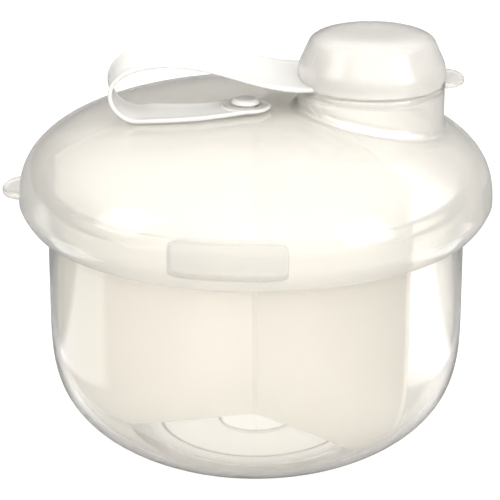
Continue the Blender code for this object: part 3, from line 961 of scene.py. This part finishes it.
    def build(self, finishes: Finishes) -> None:
        """Makes the strap band and its end."""
        band = surface("strap_band", self.grid(), Ends.CAPPED)
        band.data.materials.append(finishes.by_slot["strap_plastic"])
        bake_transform(band)
        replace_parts(band, "strap_upper", "strap_lower")
        finishes.dress(surface("strap_end", self.end_grid(), Ends.JOINED), "strap_plastic", "lid")


# --- Divider ---------------------------------------------------------------------------


@dataclass
class Divider:
    """Three walls on a hub, which part the bowl into compartments."""

    bowl: Bowl
    lid: Lid
    bearing: float = 45.5
    fins: int = 3
    thickness: float = 1.4
    hub_radius: float = 1.25
    edge_gap: float = 0.5
    floor_gap: float = 0.35
    lid_gap: float = 0.9

    def fin_grid(self, bearing: float) -> np.ndarray:
        """One wall, carried outwards from the hub. Each row is the wall's upright section
        at one distance: its foot on the bowl's curve, its top, with round corners, under
        the dome, and its side walls a thickness apart."""
        inset = self.bowl.wall + self.edge_gap
        floor = self.bowl.floor_z + self.floor_gap
        curve = self.bowl.inner_curve(floor, inset, 50)
        flat_r = np.linspace(0.0, curve[0, 0], 26)[:-1]
        reach = np.concatenate([flat_r, curve[:, 0]])
        foot = np.concatenate([np.full(len(flat_r), floor), curve[:, 1]])
        top = self.lid.dome_z(reach, self.lid.wall + self.lid_gap)
        half = self.thickness / 2
        turn = np.linspace(0.0, math.pi, 9)
        climb = np.linspace(0.0, 1.0, 12)[:-1]
        level = np.zeros(len(climb))
        aside = np.concatenate([level + half, half * np.cos(turn), level - half])
        rise = np.concatenate([climb, np.ones(len(turn)), climb[::-1]])
        arch = np.concatenate([level, half * np.sin(turn), level])
        height = foot[:, None] + (top - foot - half)[:, None] * rise[None, :] + arch[None, :]
        x = np.broadcast_to(reach[:, None], height.shape)
        y = np.broadcast_to(aside[None, :], height.shape)
        return turn_plan(np.stack([x, y, height], axis=-1), bearing_angle(bearing))

    def hub_grid(self) -> np.ndarray:
        """The round post that the walls meet on."""
        top = float(self.lid.dome_z(np.array(0.0), self.lid.wall + self.lid_gap))
        floor = self.bowl.floor_z + self.floor_gap
        radius = self.hub_radius
        outline = softened([(0.0, floor, 0), (radius, floor, 0.2), (radius, top, 0.5), (0.0, top, 0)])
        return turned_grid(outline, 40)

    def build(self, finishes: Finishes) -> None:
        """Makes the walls and the post."""
        for i in range(self.fins):
            grid = self.fin_grid(self.bearing + i * 360.0 / self.fins)
            fin = surface(f"divider_wall_{i + 1}", grid, Ends.CAPPED)
            finishes.dress(fin, "divider_plastic", "divider")
            if i == 0:
                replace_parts(fin, "divider")
        finishes.dress(surface("divider_post", self.hub_grid(), Ends.OPEN), "divider_plastic", "divider")


# --- Studio ----------------------------------------------------------------------------


@dataclass
class Wiring:
    """Works out a brightness in one node tree."""

    tree: bpy.types.NodeTree

    def feed(self, socket: bpy.types.NodeSocket, value: object) -> None:
        """Sets an input to a number, or links another node's result to it."""
        if isinstance(value, float):
            socket.default_value = value
        else:
            self.tree.links.new(value, socket)

    def ramp(self, source: object, start: float, end: float, low: float, high: float) -> object:
        """A smooth step, from low where the source is at start to high where it is at end."""
        step = self.tree.nodes.new("ShaderNodeMapRange")
        step.interpolation_type = "SMOOTHSTEP"
        for name, value in zip(("From Min", "From Max", "To Min", "To Max"), (start, end, low, high)):
            step.inputs[name].default_value = value
        self.feed(step.inputs["Value"], source)
        return step.outputs["Result"]

    def joined(self, kind: str, first: object, *others: object) -> object:
        """A value with this operation's others applied one after another."""
        for other in others:
            node = self.tree.nodes.new("ShaderNodeMath")
            node.operation = kind
            self.feed(node.inputs[0], first)
            self.feed(node.inputs[1], other)
            first = node.outputs["Value"]
        return first

    def axes(self, place: str) -> bpy.types.bpy_prop_collection:
        """The X, Y and Z of a kind of texture coordinate."""
        source = self.tree.nodes.new("ShaderNodeTexCoord")
        split = self.tree.nodes.new("ShaderNodeSeparateXYZ")
        self.feed(split.inputs["Vector"], source.outputs[place])
        return split.outputs

    def by_ray(self, soft: object, mirrored: object, seen: float) -> object:
        """Chooses a brightness by the kind of ray.

        Args:
            soft: what lights the plastic and shows through it.
            mirrored: what its gloss and its edges mirror.
            seen: what the camera sees past it.

        Returns:
            The chosen brightness.
        """
        rays = self.tree.nodes.new("ShaderNodeLightPath").outputs
        glint = self.joined("MULTIPLY", rays["Is Glossy Ray"], rays["Is Reflection Ray"])
        for mask, other in ((glint, mirrored), (rays["Is Camera Ray"], seen)):
            mix = self.tree.nodes.new("ShaderNodeMix")
            for name, value in (("Factor", mask), ("A", soft), ("B", other)):
                self.feed(mix.inputs[name], value)
            soft = mix.outputs["Result"]
        return soft


@dataclass
class Studio:
    """The pale floor and backdrop, the soft lights and the camera.

    Distances are in metres. A pair is where a smooth step starts and ends, and a group of
    four is a step's start, end, first value and last value.
    """

    distance: float = 0.5193
    elevation: float = 19.49
    aim_z: float = 0.05
    lens: float = 156.1
    sensor: float = 36.0
    shift: Pair = (-0.0116, -0.0246)
    clip: Pair = (0.01, 20.0)
    floor_half: float = 3.0
    floor_grey: float = 0.2
    floor_roughness: float = 0.9
    floor_white: float = 0.9
    floor_glow: float = 1.05
    floor_side: float = 0.05
    strip_reach: Pair = (0.062, 0.09)
    floor_under: float = 0.78
    foot_reach: Pair = (0.042, 0.06)
    ring_start: Pair = (0.022, 0.029)
    ring_dip: float = 0.4
    patch_glow: float = 1.7
    patch_start: Pair = (0.08, 0.09)
    patch_end: Pair = (0.19, 0.22)
    patch_half: Pair = (0.025, 0.042)
    soft_sky: Four = (0.0, 0.5, 0.2, 1.5)
    soft_front: Four = (-0.2, -0.85, 0.0, 1.85)
    mirror_sky: Four = (0.4, 0.85, 0.0, 1.3)
    mirror_front: Four = (-0.55, -0.85, 0.0, 1.0)
    sky_side: float = 0.12
    box_size: Pair = (0.3, 0.5)

    def floor_brightness(self, wiring: Wiring) -> object:
        """The floor's glow: a bright strip behind the object, dimmer under its foot and
        dimmest in a ring about the foot, and a bright patch on each side of the object
        that only its gloss mirrors."""
        x, y, z = wiring.axes("Object")
        aside, along = (wiring.joined("ABSOLUTE", axis, 0.0) for axis in (x, y))
        squares = [wiring.joined("MULTIPLY", axis, axis) for axis in (x, y, z)]
        away = wiring.joined("SQRT", wiring.joined("ADD", *squares), 0.0)
        inside = wiring.ramp(away, *self.foot_reach, 1.0, 0.0)
        dip = wiring.ramp(away, *self.ring_start, 0.0, -self.ring_dip)
        under = wiring.ramp(away, *self.foot_reach, self.floor_under, self.floor_glow)
        under = wiring.joined("ADD", under, wiring.joined("MULTIPLY", dip, inside))
        strip = wiring.ramp(aside, *self.strip_reach, self.floor_glow, self.floor_side)
        patch = wiring.joined(
            "MULTIPLY",
            wiring.ramp(aside, *self.patch_start, 0.0, self.patch_glow),
            wiring.ramp(aside, *self.patch_end, 1.0, 0.0),
            wiring.ramp(along, *self.patch_half, 1.0, 0.0),
        )
        return wiring.by_ray(wiring.joined("MINIMUM", under, strip), patch, self.floor_white)

    def sweep(self) -> None:
        """A large plain floor that is white to the camera and glows through the plastic."""
        half = self.floor_half
        corners = [(-half, -half, 0), (half, -half, 0), (half, half, 0), (-half, half, 0)]
        mesh = bpy.data.meshes.new("studio_floor")
        mesh.from_pydata(corners, [], [(0, 1, 2, 3)])
        floor = bpy.data.objects.new("studio_floor", mesh)
        bpy.context.scene.collection.objects.link(floor)
        material = bpy.data.materials.new("studio_white")
        material.use_nodes = True
        shader = material.node_tree.nodes["Principled BSDF"]
        shader.inputs["Base Color"].default_value = (*[self.floor_grey] * 3, 1.0)
        shader.inputs["Roughness"].default_value = self.floor_roughness
        shader.inputs["Specular IOR Level"].default_value = 0.0
        shader.inputs["Emission Color"].default_value = (1.0, 1.0, 1.0, 1.0)
        wiring = Wiring(material.node_tree)
        wiring.feed(shader.inputs["Emission Strength"], self.floor_brightness(wiring))
        mesh.materials.append(material)

    def world(self) -> None:
        """The surround: white to the camera, an even soft sky to what it lights, and a
        dim horizon under a bright top and front to what mirrors it."""
        world = bpy.data.worlds.new("studio_air")
        bpy.context.scene.world = world
        world.use_nodes = True
        wiring = Wiring(world.node_tree)
        x, y, z = wiring.axes("Generated")
        side = wiring.joined("MULTIPLY", x, self.sky_side)
        skies = [
            wiring.joined("ADD", wiring.ramp(z, *sky), wiring.ramp(y, *front), side)
            for sky, front in ((self.soft_sky, self.soft_front), (self.mirror_sky, self.mirror_front))
        ]
        background = world.node_tree.nodes["Background"]
        background.inputs["Color"].default_value = (1.0, 1.0, 1.0, 1.0)
        wiring.feed(background.inputs["Strength"], wiring.by_ray(*skies, 1.0))

    def softbox(self, name: str, place: tuple[float, float, float], power: float) -> None:
        """An area light that faces the object's middle."""
        light = bpy.data.lights.new(name, "AREA")
        light.shape = "RECTANGLE"
        light.size, light.size_y = self.box_size
        light.energy = power
        lamp = bpy.data.objects.new(name, light)
        bpy.context.scene.collection.objects.link(lamp)
        x, y, z = np.array([0.0, 0.0, self.aim_z]) - np.array(place)
        lamp.location = place
        lamp.rotation_euler = (math.atan2(math.hypot(x, y), -z), 0.0, math.atan2(-x, y))

    def camera(self) -> None:
        """The camera, level across and looking a little down."""
        tip = math.radians(self.elevation)
        lens = bpy.data.cameras.new("camera")
        lens.lens, lens.sensor_width = self.lens, self.sensor
        lens.shift_x, lens.shift_y = self.shift
        lens.dof.use_dof = False
        lens.clip_start, lens.clip_end = self.clip
        camera = bpy.data.objects.new("camera", lens)
        bpy.context.scene.collection.objects.link(camera)
        back, up = self.distance * math.cos(tip), self.distance * math.sin(tip)
        camera.location = (0.0, -back, self.aim_z + up)
        camera.rotation_euler = (math.pi / 2 - tip, 0.0, 0.0)
        bpy.context.scene.camera = camera

    def build(self) -> None:
        """Sets the studio up."""
        self.sweep()
        self.world()
        self.softbox("left_box", (-0.6, -0.25, 0.4), 1.7)
        self.softbox("right_box", (0.6, -0.45, 0.35), 3.3)
        self.camera()
        bpy.context.scene.view_settings.view_transform = "Standard"


def main() -> None:
    """Builds the dispenser and its studio."""
    logging.basicConfig(level=logging.INFO, format="%(name)s: %(message)s")
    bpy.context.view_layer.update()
    finishes = Finishes()
    bowl, lid = Bowl(), Lid()
    cap = SpoutCap(lid.spout)
    strap = Strap(lid, cap)
    bowl.build(finishes)
    Divider(bowl, lid).build(finishes)
    lid.build(finishes, strap.end_height() + strap.thickness / 2 + STUD_HEAD_GAP)
    cap.build(finishes)
    strap.build(finishes)
    Studio().build()


if __name__ == "__main__":
    main()
